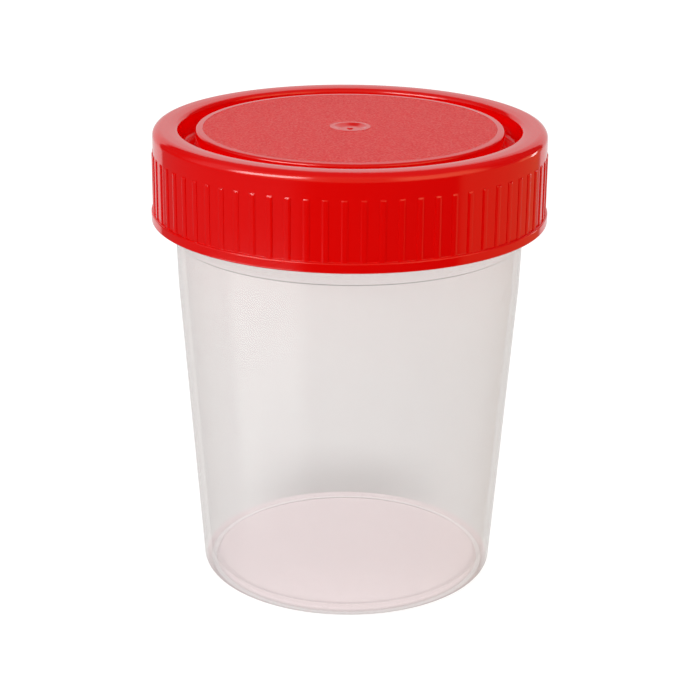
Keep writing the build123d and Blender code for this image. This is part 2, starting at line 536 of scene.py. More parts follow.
def groove_mask(tree):
    """1 inside the ring groove and 0 elsewhere, from object coordinates."""
    across, along, height = object_place(tree)
    radius = off_axis_by(tree, across, along)
    between = maths(tree, "MULTIPLY", maths(tree, "GREATER_THAN", radius, disc_radius - GROOVE_MARGIN),
                    maths(tree, "LESS_THAN", radius, groove_radius + GROOVE_MARGIN))
    under_rim = ramp(tree, height, rim_top - GROOVE_FADE_LOW, rim_top - GROOVE_FADE_HIGH, 1.0, 0.0)
    above_floor = maths(tree, "GREATER_THAN", height, groove_z - GROOVE_MARGIN)
    return maths(tree, "MULTIPLY", between, maths(tree, "MULTIPLY", under_rim, above_floor))


# %% [markdown]
# Two reds make the disc: dark dots and pale ones, mixed by the same fine grain that raises the bump.
# Deep in the ring groove light bounces from wall to wall and comes out a fuller red, so the groove has a
# red of its own and less gloss.

# %% Red lid plastic
LID_RED = (0.82, 0.0015, 0.0008, 1)
GROOVE_RED = (1.0, 0.0005, 0.0005, 1)
DISC_DARK = (0.93, 0.003, 0.003, 1)
DISC_LIGHT = (1.0, 0.036, 0.033, 1)
DISC_GRAIN_SCALE = 2800
LID_MOTTLE_SCALE = 90
DISC_SPECK_RANGE = (0.38, 0.62)
LID_ROUGHNESS = (0.06, 0.09)
DISC_ROUGHNESS = (0.56, 0.40)
FULL_SPECULAR = 0.5
GROOVE_SPECULAR_LOSS = 0.35
LID_GRAIN_SHARE = 0.01
LID_BUMP_HEIGHT = 0.3 * MM
LID_IOR = 1.5


def make_lid_material():
    """Glossy red plastic with a grained disc."""
    material, tree, shader, grain = new_material("red_lid_plastic")
    grain.inputs["Grain Scale"].default_value = DISC_GRAIN_SCALE
    grain.inputs["Mottle Scale"].default_value = LID_MOTTLE_SCALE
    mask = disc_mask(tree)
    speck = ramp(tree, grain.outputs["Height"], *DISC_SPECK_RANGE)
    grained = blend(tree, "RGBA", speck, DISC_DARK, DISC_LIGHT)
    groove = groove_mask(tree)
    smooth_red = blend(tree, "RGBA", groove, LID_RED, GROOVE_RED)
    tree.links.new(blend(tree, "RGBA", mask, smooth_red, grained), shader.inputs["Base Color"])
    specular = maths(tree, "MULTIPLY_ADD", groove, -GROOVE_SPECULAR_LOSS, FULL_SPECULAR)
    tree.links.new(specular, shader.inputs["Specular IOR Level"])
    gloss = add_node(tree, "ShaderNodeMapRange", Value=grain.outputs["Mottle"],
                     To_Min=LID_ROUGHNESS[0], To_Max=LID_ROUGHNESS[1])
    dull = add_node(tree, "ShaderNodeMapRange", Value=speck,
                    To_Min=DISC_ROUGHNESS[0], To_Max=DISC_ROUGHNESS[1])
    tree.links.new(blend(tree, "FLOAT", mask, gloss.outputs[0], dull.outputs[0]), shader.inputs["Roughness"])
    strength = add_node(tree, "ShaderNodeMapRange", Value=mask, To_Min=LID_GRAIN_SHARE, To_Max=1.0)
    height = maths(tree, "MULTIPLY", grain.outputs["Height"], strength.outputs[0])
    bump = add_node(tree, "ShaderNodeBump", Height=height, Strength=1.0, Distance=LID_BUMP_HEIGHT)
    tree.links.new(bump.outputs[0], shader.inputs["Normal"])
    shader.inputs["IOR"].default_value = LID_IOR
    print("red lid plastic:", len(tree.nodes), "nodes")
    return material


RED_LID = make_lid_material()

# %% [markdown]
# The cup is natural polypropylene. A real wall lets part of the light straight through and scatters the rest,
# so it looks milky, and milkiest where the eye looks along it. Glass with a rough inside could do this, but
# it renders slowly and shows the room twice. Here the wall's opacity does it: a constant haze, more of it at
# grazing angles, and less on the inner side, so that the two skins of the wall don't draw a double line.
# The small step of the band under the lid shows as a thin dark line, because light bends away there.

# %% Translucent cup plastic
CUP_TINT = (0.765, 0.725, 0.725, 1)
PAINTED_LID_BOUNCE_TINT = (0.86, 0.755, 0.74, 1)
PAINTED_LID_BOUNCE_HEIGHTS = (30 * MM, 62 * MM)
GRAZING_SHADE_TINT = (0.66, 0.62, 0.60, 1)
STEP_TINT = (0.22, 0.18, 0.17, 1)
STEP_HALF_WIDTH = (0.08 * MM, 0.14 * MM)
STEP_OPACITY = 0.6
HAZE = 0.27
INNER_HAZE = 0.13
EDGE_HAZE = 0.8
GRAZING_BLEND = 0.5
GRAZING_POWER = 4.0
GRAZING_SHADE_GAIN = 2.0
INNER_SPECULAR_LOSS = 0.4
CUP_GRAIN_SCALE = 900
CUP_MOTTLE_SCALE = 45
CUP_ROUGHNESS = (0.07, 0.11)
CUP_BUMP_STRENGTH = 0.004
WALL_BUMP_HEIGHT = 0.1 * MM
CUP_IOR = 1.49


def cup_haze(tree, inner, grazing):
    """Opacity of the wall: milky all over, more so edge on, and clearer on the inner side."""
    outer_haze = maths(tree, "MULTIPLY_ADD", grazing, EDGE_HAZE - HAZE, HAZE)
    inner_haze = maths(tree, "MULTIPLY_ADD", grazing, -INNER_HAZE, INNER_HAZE)
    return blend(tree, "FLOAT", inner, outer_haze, inner_haze)


def step_line(tree, height, inner):
    """1 on the small step of the band under the lid and 0 elsewhere."""
    off_step = maths(tree, "ABSOLUTE", maths(tree, "SUBTRACT", height, band_z + band_proud / 2))
    return maths(tree, "MULTIPLY", ramp(tree, off_step, *STEP_HALF_WIDTH, 1.0, 0.0),
                 maths(tree, "SUBTRACT", 1.0, inner))


def make_cup_material():
    """Milky see-through plastic: part of the light passes straight on, the rest is scattered."""
    material, tree, shader, grain = new_material("clear_polypropylene")
    grain.inputs["Grain Scale"].default_value = CUP_GRAIN_SCALE
    grain.inputs["Mottle Scale"].default_value = CUP_MOTTLE_SCALE
    inner_side = tree.nodes.new("ShaderNodeAttribute")
    inner_side.attribute_name = "inner_side"
    inner = inner_side.outputs["Fac"]
    edge_on = tree.nodes.new("ShaderNodeLayerWeight")
    edge_on.inputs["Blend"].default_value = GRAZING_BLEND
    grazing = maths(tree, "POWER", edge_on.outputs["Facing"], GRAZING_POWER)
    height = object_place(tree)[2]
    step = step_line(tree, height, inner)
    opacity = maths(tree, "MAXIMUM", cup_haze(tree, inner, grazing),
                    maths(tree, "MULTIPLY", step, STEP_OPACITY))
    tree.links.new(opacity, shader.inputs["Alpha"])
    specular = maths(tree, "MULTIPLY_ADD", inner, -INNER_SPECULAR_LOSS, FULL_SPECULAR)
    tree.links.new(specular, shader.inputs["Specular IOR Level"])
    # Painted shade: seen edge on, the wall's colour turns darker.
    edge = maths(tree, "MINIMUM", maths(tree, "MULTIPLY", grazing, GRAZING_SHADE_GAIN), 1.0)
    # Painted light: towards the lid the wall's colour turns pinker, standing in for the red light that the
    # lid throws on it.
    body = blend(tree, "RGBA", ramp(tree, height, *PAINTED_LID_BOUNCE_HEIGHTS), CUP_TINT, PAINTED_LID_BOUNCE_TINT)
    wall = blend(tree, "RGBA", edge, body, GRAZING_SHADE_TINT)
    tree.links.new(blend(tree, "RGBA", step, wall, STEP_TINT), shader.inputs["Base Color"])
    gloss = add_node(tree, "ShaderNodeMapRange", Value=grain.outputs["Mottle"],
                     To_Min=CUP_ROUGHNESS[0], To_Max=CUP_ROUGHNESS[1])
    tree.links.new(gloss.outputs[0], shader.inputs["Roughness"])
    bump = add_node(tree, "ShaderNodeBump", Height=grain.outputs["Height"], Strength=CUP_BUMP_STRENGTH,
                    Distance=WALL_BUMP_HEIGHT)
    tree.links.new(bump.outputs[0], shader.inputs["Normal"])
    shader.inputs["IOR"].default_value = CUP_IOR
    print("clear polypropylene:", len(tree.nodes), "nodes")
    return material


CLEAR_CUP = make_cup_material()

# %% [markdown]
# The ring is a soft rubber, punched or moulded. It is dull, off-white and a little uneven in tone, so a
# high roughness, two close tones and a gentle bump are enough.

# %% Soft ring rubber
RUBBER_DARK = (0.74, 0.72, 0.68, 1)
RUBBER_LIGHT = (0.82, 0.81, 0.78, 1)
RUBBER_GRAIN_SCALE = 1800
RUBBER_ROUGHNESS = 0.6
RUBBER_BUMP_STRENGTH = 0.2


def make_ring_material():
    """Soft, dull, off-white sealing rubber."""
    material, tree, shader, grain = new_material("seal_rubber")
    grain.inputs["Grain Scale"].default_value = RUBBER_GRAIN_SCALE
    tone = blend(tree, "RGBA", grain.outputs["Mottle"], RUBBER_DARK, RUBBER_LIGHT)
    tree.links.new(tone, shader.inputs["Base Color"])
    shader.inputs["Roughness"].default_value = RUBBER_ROUGHNESS
    bump = add_node(tree, "ShaderNodeBump", Height=grain.outputs["Height"], Strength=RUBBER_BUMP_STRENGTH,
                    Distance=WALL_BUMP_HEIGHT)
    tree.links.new(bump.outputs[0], shader.inputs["Normal"])
    print("seal rubber:", len(tree.nodes), "nodes")
    return material


SEAL_RUBBER = make_ring_material()

# %% [markdown]
# The cup is one thin moulding. The outline runs from the middle of its underside, out over the foot ring,
# up the wall and the band under the lid, round the lip, and down the inside to the middle of the floor.

# %% Outline of the cup
inner_rounding = 0.2 * MM
dish_rounding = 0.6 * MM
recess_rounding = 0.3 * MM
foot_rounding = 1.2 * MM
bend_rounding = 20 * MM
band_rounding = 0.08 * MM
lip_rounding = 0.25 * MM
floor_rounding = 1.4 * MM
upper_bore = upper_wall_radius - cup_wall
flare_bore_z = flare_z + cup_wall * math.sqrt(2) - (band_radius - upper_bore)
cup_corners = [
    (0, foot_recess + dish_depth, 0),
    (dish_radius - dish_depth, foot_recess + dish_depth, dish_rounding),
    (dish_radius - dish_depth + dish_slope_width, foot_recess, dish_rounding),
    (recess_radius, foot_recess, recess_rounding),
    (recess_radius + foot_recess, 0, recess_rounding),
    (base_radius, 0, foot_rounding),
    (bend_radius, bend_z, bend_rounding),
    (upper_wall_radius, band_z, band_rounding),
    (band_radius, band_z + band_proud, band_rounding),
    (band_radius, flare_z, inner_rounding),
    (neck_radius, flare_z + neck_radius - band_radius, inner_rounding),
    (neck_radius, lip_z, lip_rounding),
    (neck_bore, lip_z, lip_rounding),
    (neck_bore, flare_bore_z + neck_bore - upper_bore, inner_rounding),
    (upper_bore, flare_bore_z, inner_rounding),
    (bend_radius - cup_wall, bend_z, bend_rounding),
    (base_radius - cup_wall, floor_z, floor_rounding),
    (0, floor_z, 0),
]
print("cup outline:", len(cup_corners), "corners")

# %% Cup
THREAD_BELOW_LIP = 0.3 * MM


def on_neck(radius, height):
    """1 on the outside of the neck, where the cup's thread stands."""
    return 1.0 if abs(radius - neck_radius) < HAIR and height < lip_z - THREAD_BELOW_LIP else 0.0


cup_shell = turned_piece(
    "cup_shell", cup_corners, CLEAR_CUP, carries=on_neck,
    **{"Thread Height": thread_height, "Thread Start": cup_thread_start, "Thread Turns": cup_thread_turns})
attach(cup_shell, "cup")
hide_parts("cup")

# %% [markdown]
# The lid's outline starts at the dimple in the middle of the disc, where the mould was filled. It drops into
# the ring groove, climbs over the rim, runs down the skirt, and comes back along the inside.
# The groove is not only decoration: its wall is the plug that wedges into the cup's neck and seals it.

# %% Outline of the lid
dimple_floor = disc_z - dimple_depth
gate_mark_rounding = 0.1 * MM
dimple_floor_rounding = 1.5 * MM
dimple_edge_rounding = 0.3 * MM
grain_edge_rounding = 0.03 * MM
disc_rounding = 0.4 * MM
groove_rounding = 0.8 * MM
rim_edge_rounding = 0.7 * MM
rim_crown_rounding = 6 * MM
shoulder_rounding = 1.3 * MM
collar_crease_rounding = 0.08 * MM
collar_top_rounding = 0.2 * MM
collar_foot_rounding = 0.25 * MM
skirt_foot_rounding = 0.3 * MM
plug_rounding = 0.55 * MM
lid_corners = [
    (0, dimple_floor + gate_mark_height, 0),
    (gate_mark_radius, dimple_floor + gate_mark_height, gate_mark_rounding),
    (gate_mark_foot, dimple_floor, gate_mark_rounding),
    (dimple_floor_radius, dimple_floor, dimple_floor_rounding),
    (dimple_radius, disc_z, dimple_edge_rounding),
    (dimple_collar, disc_z, grain_edge_rounding),
    (dimple_collar + grain_sink, disc_z - grain_sink, grain_edge_rounding),
    (disc_grain_radius - grain_sink, disc_z - grain_sink, grain_edge_rounding),
    (disc_grain_radius, disc_z, grain_edge_rounding),
    (disc_radius, disc_z - disc_band_fall, disc_rounding),
    (disc_radius, groove_z, groove_rounding),
    (groove_radius, groove_z, groove_rounding),
    (groove_radius, rim_top - rim_fall, rim_edge_rounding),
    (groove_radius + rim_crown_width, rim_top, rim_crown_rounding),
    (grip_radius, rim_top, shoulder_rounding),
    (grip_radius, collar_top, collar_crease_rounding),
    (collar_radius, collar_top, collar_top_rounding),
    (collar_radius, lid_foot, collar_foot_rounding),
    (skirt_bore, lid_foot, skirt_foot_rounding),
    (skirt_bore, seat_z, inner_rounding),
    (plug_radius, seat_z, inner_rounding),
    (plug_radius, plug_z, plug_rounding),
    (disc_bore, plug_z, plug_rounding),
    (disc_bore, underside_z, inner_rounding),
    (boss_radius, underside_z, inner_rounding),
    (boss_radius, underside_z - boss_height, inner_rounding),
    (0, underside_z - boss_height, 0),
]
print("lid outline:", len(lid_corners), "corners")

# %% Lid shell
THREAD_ABOVE_FOOT = 0.5 * MM
THREAD_BELOW_SEAT = 1.0 * MM


def in_skirt(radius, height):
    """-1 on the inside of the skirt, where the lid's thread stands inwards."""
    on_bore = abs(radius - skirt_bore) < HAIR
    return -1.0 if on_bore and lid_foot + THREAD_ABOVE_FOOT < height < seat_z - THREAD_BELOW_SEAT else 0.0


lid_shell = turned_piece(
    "lid_shell", lid_corners, RED_LID, carries=in_skirt,
    **{"Thread Height": thread_height, "Thread Start": lid_thread_start, "Thread Turns": lid_thread_turns})
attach(lid_shell, "screw_lid")
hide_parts("screw_lid")

# %% [markdown]
# Seventy slim ribs give the fingers a grip. Each is the same low bar with soft flanks and a soft upper end,
# so one bar is modelled and a Geometry Nodes tree repeats it round the skirt: points on a circle, one
# instance each, turned to face out. The ribs stand less than a tenth of a millimetre proud, yet they show,
# because a flank that leans even a little reflects another part of the room.

# %% One grip rib
RIB_COUNT = 70
RIB_WIDTH = 1.0 * MM
RIB_LENGTH = 9.2 * MM
RIB_SINK = 0.3 * MM
RIB_EDGE = 0.3 * MM
RIB_END = 0.2 * MM
RIB_COLUMNS = 8
RIB_ROWS = 5
FRONT = math.radians(-90)
FIRST_RIB = FRONT - math.radians(1.3)


def soft_step(share):
    """Rises smoothly from 0 to 1 while its argument does, and stays level outside that."""
    share = min(max(share, 0.0), 1.0)
    return share * share * (3 - 2 * share)


def rib_mesh():
    """An upright bar with soft flanks and a soft upper end, at radius 0 and standing towards +X."""
    across = [RIB_WIDTH / 2 * k / RIB_COLUMNS for k in range(-RIB_COLUMNS, RIB_COLUMNS + 1)]
    heights = [0.0, RIB_LENGTH - RIB_END - HOLD]
    heights += [RIB_LENGTH - RIB_END * (1 - k / RIB_ROWS) for k in range(RIB_ROWS + 1)]
    flanks = [soft_step((RIB_WIDTH / 2 - abs(y)) / RIB_EDGE) for y in across]
    ends = [soft_step((RIB_LENGTH - z) / RIB_END) for z in heights]
    crest = [(rib_proud * flank * end, y, z)
             for z, end in zip(heights, ends) for y, flank in zip(across, flanks)]
    back = [(-RIB_SINK, y, z) for z in heights for y in across]
    columns, rows = len(across), len(heights)
    outer = [(r * columns + c, r * columns + c + 1, (r + 1) * columns + c + 1, (r + 1) * columns + c)
             for r in range(rows - 1) for c in range(columns - 1)]
    depth = len(crest)
    inner = [tuple(depth + corner for corner in reversed(face)) for face in outer]
    rim = ([c for c in range(columns)] + [r * columns + columns - 1 for r in range(1, rows)]
           + [(rows - 1) * columns + c for c in range(columns - 2, -1, -1)]
           + [r * columns for r in range(rows - 2, 0, -1)])
    walls = [(b, a, depth + a, depth + b) for a, b in zip(rim, rim[1:] + rim[:1])]
    mesh = bpy.data.meshes.new("grip_rib")
    mesh.from_pydata(crest + back, [], outer + inner + walls)
    return mesh


# %% Tree that repeats the rib round the skirt
def ring_of_copies_tree():
    """Geometry Nodes tree: one shape in, copies round the upright axis out."""
    tree, group_in, group_out = new_tree("copies round the axis", {
        "Count": ("NodeSocketInt", RIB_COUNT),
        "Radius": ("NodeSocketFloat", grip_radius),
        "Height": ("NodeSocketFloat", collar_top),
        "First Angle": ("NodeSocketFloat", 0.0),
        "Material": ("NodeSocketMaterial", None),
    })
    inputs = group_in.outputs
    line = add_node(tree, "GeometryNodeMeshLine", Count=inputs["Count"])
    number = tree.nodes.new("GeometryNodeInputIndex").outputs[0]
    step = maths(tree, "DIVIDE", math.tau, inputs["Count"])
    angle = maths(tree, "ADD", maths(tree, "MULTIPLY", number, step), inputs["First Angle"])
    place = add_node(tree, "ShaderNodeCombineXYZ",
                     X=maths(tree, "MULTIPLY", inputs["Radius"], maths(tree, "COSINE", angle)),
                     Y=maths(tree, "MULTIPLY", inputs["Radius"], maths(tree, "SINE", angle)),
                     Z=inputs["Height"])
    spots = add_node(tree, "GeometryNodeSetPosition", Geometry=line.outputs[0], Position=place.outputs[0])
    turn = add_node(tree, "ShaderNodeCombineXYZ", Z=angle)
    copies = add_node(tree, "GeometryNodeInstanceOnPoints", Points=spots.outputs[0],
                      Instance=inputs["Geometry"], Rotation=turn.outputs[0])
    whole = add_node(tree, "GeometryNodeRealizeInstances", Geometry=copies.outputs[0])
    smooth = add_node(tree, "GeometryNodeSetShadeSmooth", Geometry=whole.outputs[0])
    painted = add_node(tree, "GeometryNodeSetMaterial", Geometry=smooth.outputs[0],
                       Material=inputs["Material"])
    tree.links.new(painted.outputs[0], group_out.inputs[0])
    print("tree of copies:", len(tree.nodes), "nodes")
    return tree


grip_ribs = run_tree("grip_ribs", rib_mesh(), ring_of_copies_tree(), {
    "Radius": grip_radius + rib_proud, "First Angle": FIRST_RIB, "Material": RED_LID})
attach(grip_ribs, "screw_lid")
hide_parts("screw_lid")
print("ribs:", RIB_COUNT, "faces:", len(grip_ribs.data.polygons))

# %% [markdown]
# The ring is the only soft piece. It is hidden while the lid is closed and shows once the lid is lifted.

# %% Sealing ring
ring_clearance = 0.3 * MM
ring_rounding = 0.2 * MM
ring_inner = plug_radius + ring_clearance
ring_outer = skirt_bore - ring_clearance
seal = turned_piece(
    "seal_ring", [
        (ring_inner, lip_z, ring_rounding),
        (ring_outer, lip_z, ring_rounding),
        (ring_outer, seat_z, ring_rounding),
        (ring_inner, seat_z, ring_rounding),
    ], SEAL_RUBBER, closed=True)
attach(seal, "sealing_ring")
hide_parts("sealing_ring")

# %% [markdown]
# The camera looks down at about twenty degrees. Its distance, height and lens were worked out from the
# ellipses of the rim, collar and foot. The picture is a hair out of level, which the small roll repeats.

# %% Camera
CAMERA_DISTANCE = 0.2895
CAMERA_HEIGHT = 0.1406
CAMERA_PITCH = 0.347
CAMERA_ROLL = 0.009
CAMERA_YAW = 0.001
CAMERA_SENSOR_WIDTH = 36
CAMERA_LENS = 97.98
CAMERA_NEAREST = 0.01
camera_data = bpy.data.cameras.new("camera")
camera_data.sensor_width = CAMERA_SENSOR_WIDTH
camera_data.lens = CAMERA_LENS
camera_data.clip_start = CAMERA_NEAREST
camera = bpy.data.objects.new("camera", camera_data)
bpy.context.scene.collection.objects.link(camera)
aim = Matrix.Rotation(-CAMERA_YAW, 4, "Z") @ Matrix.Rotation(math.pi / 2 - CAMERA_PITCH, 4, "X")
camera.matrix_world = (Matrix.Translation((0, -CAMERA_DISTANCE, CAMERA_HEIGHT)) @ aim
                       @ Matrix.Rotation(CAMERA_ROLL, 4, "Z"))
bpy.context.scene.camera = camera
print(f"camera: {CAMERA_LENS} mm lens, {math.degrees(CAMERA_PITCH):.1f} degrees down")

# %% [markdown]
# The background is pure white, but a white room all round would wash out the red. Light Path tells the world
# what kind of ray has left the scene, so each kind finds surroundings of its own. The camera sees white. The
# soft light comes from a pale room that is a little brighter and warmer on the right. The gloss reflects a
# dark room with boxes of light in it. Such boxes could be lamps, but a lamp that shows in the gloss also
# lights the matt parts, and here the two have to be set apart.

# %% Soft light of the room
ROOM_LEVEL = 0.93
ROOM_TOP_LEVEL = 0.55
ROOM_TOP_FROM, ROOM_TOP_TO = 0.3, 0.85
ROOM_RIGHT_GAIN = 1.2
ROOM_RIGHT_TO = 0.8
ROOM_WARM_FROM = -0.1
ROOM_WHITE = (1, 0.99, 0.995, 1)
ROOM_WARM = (1, 0.93, 0.82, 1)


def room_light(tree, across, up):
    """Tint and strength of the soft light that comes from a direction."""
    tint = blend(tree, "RGBA", ramp(tree, across, ROOM_WARM_FROM, ROOM_RIGHT_TO), ROOM_WHITE, ROOM_WARM)
    to_the_top = ramp(tree, up, ROOM_TOP_FROM, ROOM_TOP_TO, ROOM_LEVEL, ROOM_TOP_LEVEL)
    to_the_right = ramp(tree, across, 0.0, ROOM_RIGHT_TO, 1.0, ROOM_RIGHT_GAIN)
    return tint, maths(tree, "MULTIPLY", to_the_top, to_the_right)


# %% [markdown]
# A box of light lies between two turns and two heights. A turn is in degrees: 0 is straight behind the cup,
# positive is to the right, and 180 is towards the camera. A height is the sine of the angle above the
# horizon, and -2 means all the way down. The edges say how softly a box ends, sideways and upright.
# A cup's upright wall seen from above reflects what lies below the horizon, so many boxes reach down there.

# %% Boxes of light that the gloss reflects
PANEL = {"turns": (-41.5, 36.5), "heights": (-2, 0.76), "edges": (2, 0.04), "level": 0.72}
LOW_PANEL = {"turns": (-41.5, 40), "heights": (-2, -0.12), "edges": (2, 0.05), "level": 0.15}
LEFT_SIDE = {"turns": (-150, -30), "heights": (-2, -0.12), "edges": (12, 0.06), "level": 0.13}
KEY = {"turns": (-152, -113), "heights": (0.17, 0.52), "edges": (8, 0.07), "level": 10.0}
KEY_GLOW = {"turns": (-160, -80), "heights": (0.0, 0.7), "edges": (15, 0.15), "level": 0.5}
CUP_STREAK = {"turns": (-149, -95), "heights": (-0.51, -0.33), "edges": (8, 0.04), "level": 3.8}
STAR = {"turns": (46.5, 53.5), "heights": (-0.20, -0.05), "edges": (2, 0.02), "level": 4.5}
RIGHT_SIDE = {"turns": (39, 114), "heights": (-2, -0.05), "edges": (4, 0.06), "level": 0.38}
RIGHT_FRONT = {"turns": (98, 152), "heights": (0.0, 0.62), "edges": (10, 0.13), "level": 1.7}
RIGHT_STREAK = {"turns": (54, 68), "heights": (-0.2, 0.02), "edges": (3, 0.04), "level": 0.7}
print("brightest box of light:", KEY["level"])


def soft_box(tree, turn, up, turns, heights, edges, level):
    """A box of light between two turns (degrees) and two heights, with soft edges."""
    low, high = (math.radians(value) for value in turns)
    edge = math.radians(edges[0])
    sideways = maths(tree, "MULTIPLY", ramp(tree, turn, low - edge, low + edge),
                     ramp(tree, turn, high - edge, high + edge, 1.0, 0.0))
    upright = maths(tree, "MULTIPLY", ramp(tree, up, heights[0] - edges[1], heights[0] + edges[1]),
                    ramp(tree, up, heights[1] - edges[1], heights[1] + edges[1], level, 0.0))
    return maths(tree, "MULTIPLY", sideways, upright)


# %% What the gloss reflects
PANEL_MIDDLE = 0.1
PANEL_BOW = 0.6
KEY_SLANT = 0.3
KEY_MIDDLE_TURN = math.radians(130)
DIM_LEVEL = 0.05
DIM_FROM, DIM_TO = -0.12, 0.0
HIGH_LEVEL = 0.17
HIGH_FROM, HIGH_TO = 0.5, 0.8
FRONT_LEVEL = 0.55
FRONT_FROM, FRONT_TO = -0.8, -0.2
FRONT_FOOT = -0.2
GLOSS_WARM = (1, 0.65, 0.32, 1)


def total(tree, *values):
    """The sum of several values."""
    added = values[0]
    for value in values[1:]:
        added = maths(tree, "ADD", added, value)
    return added


def gloss_levels(tree, across, along, up):
    """What the gloss reflects: a white part and a warm part, from the direction of the reflection."""
    turn = maths(tree, "ARCTAN2", across, along)
    off_middle = maths(tree, "ABSOLUTE", maths(tree, "SUBTRACT", across, PANEL_MIDDLE))
    bowed = maths(tree, "MULTIPLY_ADD", off_middle, PANEL_BOW, up)
    raised = maths(tree, "ADD", up, KEY_SLANT * KEY_MIDDLE_TURN)
    slanted = maths(tree, "MULTIPLY_ADD", turn, KEY_SLANT, raised)
    behind = maths(tree, "MAXIMUM", soft_box(tree, turn, bowed, **PANEL),
                   soft_box(tree, turn, up, **LEFT_SIDE))
    dim = ramp(tree, up, DIM_FROM, DIM_TO, 0.0, DIM_LEVEL)
    above = ramp(tree, up, HIGH_FROM, HIGH_TO, dim, HIGH_LEVEL)
    white_boxes = [soft_box(tree, turn, up, **LOW_PANEL), soft_box(tree, turn, slanted, **KEY)]
    white_boxes += [soft_box(tree, turn, up, **box) for box in (KEY_GLOW, CUP_STREAK, STAR)]
    warm_boxes = [soft_box(tree, turn, up, **box) for box in (RIGHT_SIDE, RIGHT_FRONT, RIGHT_STREAK)]
    front = maths(tree, "MULTIPLY", ramp(tree, along, FRONT_FROM, FRONT_TO, FRONT_LEVEL, 0.0),
                  ramp(tree, up, FRONT_FOOT, 0.0))
    return total(tree, behind, *white_boxes, above), total(tree, *warm_boxes, front)


# %% World
BACKDROP_WHITE = (1, 1, 1, 1)


def choose(tree, share, first, second):
    """A Mix Shader between two shaders."""
    node = add_node(tree, "ShaderNodeMixShader", Fac=share)
    tree.links.new(first, node.inputs[1])
    tree.links.new(second, node.inputs[2])
    return node.outputs[0]


def make_world():
    """White to the camera, boxes of light to the gloss, and a soft room to everything else."""
    world = bpy.data.worlds.new("soft_room")
    world.use_nodes = True
    bpy.context.scene.world = world
    tree = world.node_tree
    tree.nodes.clear()
    direction = tree.nodes.new("ShaderNodeTexCoord").outputs["Generated"]
    parts = add_node(tree, "ShaderNodeSeparateXYZ", Vector=direction)
    across, along, up = (parts.outputs[axis] for axis in "XYZ")
    path = tree.nodes.new("ShaderNodeLightPath")
    tint, strength = room_light(tree, across, up)
    room = add_node(tree, "ShaderNodeBackground", Color=tint, Strength=strength)
    white_level, warm_level = gloss_levels(tree, across, along, up)
    white_gloss = add_node(tree, "ShaderNodeBackground", Color=ROOM_WHITE, Strength=white_level)
    warm_gloss = add_node(tree, "ShaderNodeBackground", Color=GLOSS_WARM, Strength=warm_level)
    gloss = tree.nodes.new("ShaderNodeAddShader")
    tree.links.new(white_gloss.outputs[0], gloss.inputs[0])
    tree.links.new(warm_gloss.outputs[0], gloss.inputs[1])
    backdrop = add_node(tree, "ShaderNodeBackground", Color=BACKDROP_WHITE, Strength=1.0)
    lit = choose(tree, path.outputs["Is Glossy Ray"], room.outputs[0], gloss.outputs[0])
    seen = choose(tree, path.outputs["Is Camera Ray"], lit, backdrop.outputs[0])
    out = tree.nodes.new("ShaderNodeOutputWorld")
    tree.links.new(seen, out.inputs[0])
    print("world:", len(tree.nodes), "nodes")


make_world()

# %% [markdown]
# One soft lamp stands at the left front, above the cup. It gives the lid its lit side and the cup its
# shadow. Its reflection is left to the box of light at the same place, so the lamp is hidden from the gloss.

# %% Lamp
KEY_LAMP_DIRECTION = (-0.60, -0.56, 0.57)
KEY_LAMP_DISTANCE = 0.5
KEY_LAMP_SIZE = (0.25, 0.085)
KEY_LAMP_BRIGHTNESS = 6.9
LAMP_TARGET = Vector((0, 0, 60 * MM))


def area_lamp(name, direction, distance, size, brightness):
    """A rectangular soft lamp that faces the lid from a direction, with its brightness as seen."""
    data = bpy.data.lights.new(name, "AREA")
    data.shape = "RECTANGLE"
    data.size, data.size_y = size
    data.energy = brightness * math.pi * size[0] * size[1]
    lamp = bpy.data.objects.new(name, data)
    bpy.context.scene.collection.objects.link(lamp)
    toward = Vector(direction).normalized()
    lamp.location = LAMP_TARGET + toward * distance
    lamp.rotation_euler = toward.to_track_quat("Z", "Y").to_euler()
    print(f"lamp {name}: {data.energy:.3f} W")
    return lamp


key_lamp = area_lamp("key", KEY_LAMP_DIRECTION, KEY_LAMP_DISTANCE, KEY_LAMP_SIZE, KEY_LAMP_BRIGHTNESS)
key_lamp.visible_glossy = False

# %% [markdown]
# The floor is a plain sheet. It glows just enough for the camera to see it as white, and what the object
# takes away from its light is the shadow. The picture shows three more things on it, which masks paint in
# floor coordinates: painted red light from the lid under the cup, where the glow is painted brighter too,
# painted shade along the edge of the foot, and a soft painted shadow behind the cup.

# %% Tones of the floor
FLOOR_HALF = 1.5
FLOOR_ROUGHNESS = 0.8
FLOOR_TONE = (0.8, 0.8, 0.8, 1)
FLOOR_SEEN_TONE = (0.45, 0.45, 0.45, 1)
FLOOR_WHITE = (1, 1, 1, 1)
UNDER_CUP_LID_BOUNCE_PINK = (1, 0.835, 0.855, 1)
FOOT_EDGE = (23.25 * MM, 23.5 * MM)
FOOT_SHIFT = 0.85 * MM
UNDER_CUP_ALONG = (-23 * MM, 0.0)
UNDER_CUP_FRONT, UNDER_CUP_BACK = 1.20, 1.04
FLOOR_EDGE_SHIFT = 2.8 * MM
FLOOR_EDGE = (20.9 * MM, 21.4 * MM)
FLOOR_EDGE_SHADE = 0.78
WALL_FOOT = (21.4 * MM, 22.4 * MM)
WALL_FOOT_SHADE = 0.62
FRONT_TO_BACK = (-6 * MM, 6 * MM)
SHADE_AT_BACK = 0.3
BEHIND_SHADOW_ALONG = (15 * MM, 23 * MM)
BEHIND_SHADOW_RADIUS = (24 * MM, 50 * MM)
BEHIND_SHADOW_ACROSS = (4 * MM, 22 * MM)
BEHIND_SHADOW_LEVEL = 0.34
FLOOR_LEFT, FLOOR_RIGHT = 0.82, 0.76
FLOOR_SIDE = 50 * MM


